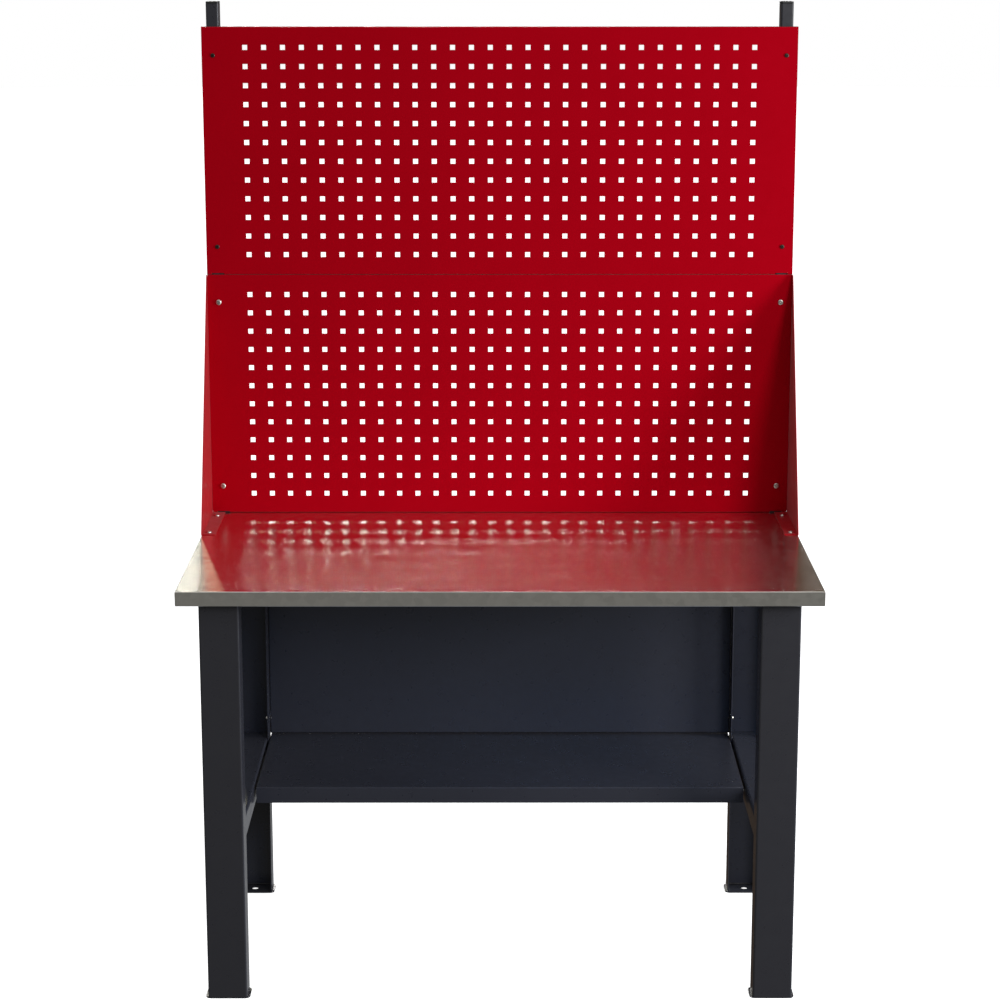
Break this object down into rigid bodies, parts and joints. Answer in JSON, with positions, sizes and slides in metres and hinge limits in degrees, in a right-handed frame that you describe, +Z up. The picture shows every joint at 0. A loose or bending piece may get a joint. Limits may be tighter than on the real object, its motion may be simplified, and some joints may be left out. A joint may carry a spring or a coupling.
{
  "type": "workbench",
  "caption": "Steel workbench with a sheet-clad worktop, a lower shelf, a back panel and a two-tier perforated tool wall with side panels.",
  "frame": {"origin": "on the floor, below the middle of the worktop", "axes": "+X to the right of a person working at the bench, +Y away from that person towards the tool wall, +Z up"},
  "size_m": [1.203, 0.7, 1.865],
  "materials": {
    "galvanised_steel": "satin galvanised steel sheet, slightly wavy",
    "board": "bare particle board",
    "grey_paint": "anthracite powder coat, semi-matt",
    "black_plastic": "moulded black plastic",
    "red_paint": "ruby red powder coat, semi-gloss",
    "zinc": "bright zinc plate",
    "dark_screw": "blackened steel"
  },
  "bodies": {
    "root": {"worktop_cover": "galvanised_steel", "worktop_board": "board", "left_front_leg": "grey_paint", "right_front_leg": "grey_paint", "left_rear_leg": "grey_paint", "right_rear_leg": "grey_paint", "left_front_foot": "grey_paint", "right_front_foot": "grey_paint", "left_rear_foot": "grey_paint", "right_rear_foot": "grey_paint", "left_lower_crossbar": "grey_paint", "right_lower_crossbar": "grey_paint", "left_top_crossbar": "grey_paint", "right_top_crossbar": "grey_paint", "shelf": "grey_paint", "back_panel": "grey_paint", "left_post": "grey_paint", "right_post": "grey_paint", "left_post_base": "grey_paint", "right_post_base": "grey_paint", "left_post_cap": "black_plastic", "right_post_cap": "black_plastic", "lower_perforated_panel": "red_paint", "upper_perforated_panel": "red_paint", "left_side_panel": "red_paint", "right_side_panel": "red_paint", "left_lower_panel_screw_bottom": "zinc", "right_lower_panel_screw_bottom": "zinc", "left_lower_panel_screw_top": "zinc", "right_lower_panel_screw_top": "zinc", "left_side_panel_screw_front": "zinc", "right_side_panel_screw_front": "zinc", "left_side_panel_screw_rear": "zinc", "right_side_panel_screw_rear": "zinc", "left_back_panel_bolt_bottom": "zinc", "right_back_panel_bolt_bottom": "zinc", "left_back_panel_bolt_top": "zinc", "right_back_panel_bolt_top": "zinc", "left_shelf_bolt_front": "zinc", "right_shelf_bolt_front": "zinc", "left_shelf_bolt_rear": "zinc", "right_shelf_bolt_rear": "zinc", "left_worktop_screw_front": "zinc", "right_worktop_screw_front": "zinc", "left_worktop_screw_rear": "zinc", "right_worktop_screw_rear": "zinc", "left_post_bolt": "zinc", "right_post_bolt": "zinc", "left_upper_panel_screw_bottom": "dark_screw", "right_upper_panel_screw_bottom": "dark_screw", "left_upper_panel_screw_top": "dark_screw", "right_upper_panel_screw_top": "dark_screw"}
  },
  "joints": []
}
